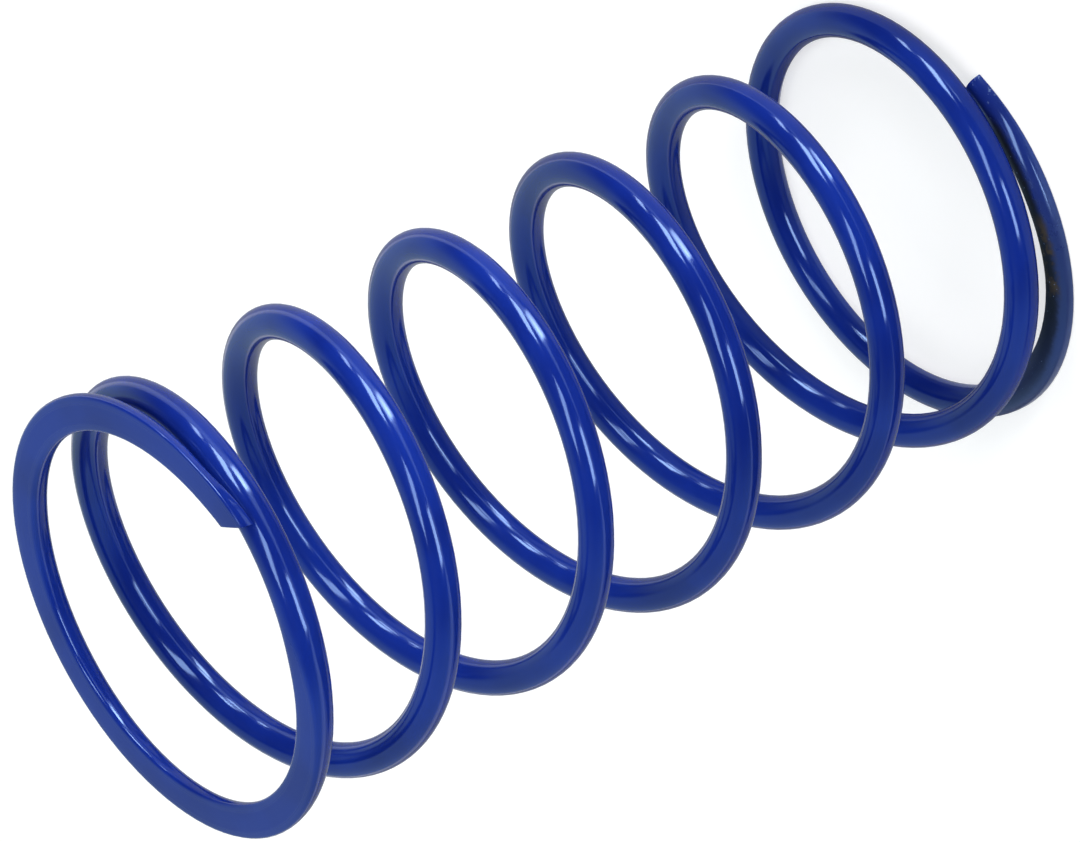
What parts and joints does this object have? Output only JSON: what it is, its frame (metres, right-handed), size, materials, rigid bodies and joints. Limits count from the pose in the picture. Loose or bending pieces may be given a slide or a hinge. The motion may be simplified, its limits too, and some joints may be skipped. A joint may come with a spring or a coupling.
{
  "type": "compression spring",
  "caption": "Blue painted left-hand helical compression spring with closed and ground ends, fitted over a clutch hub to press a sliding pulley shut.",
  "frame": {"origin": "on the coil's axis in the plane of the lower ground end, with the spring standing on that end", "axes": "+Z along the coil's axis, up from the lower end to the upper end; +X through the lower wire tip"},
  "size_m": [0.0574, 0.0575, 0.121],
  "materials": {
    "blue_paint": "gloss"
  },
  "bodies": {
    "root": {"clutch_spring": "blue_paint"}
  },
  "joints": []
}
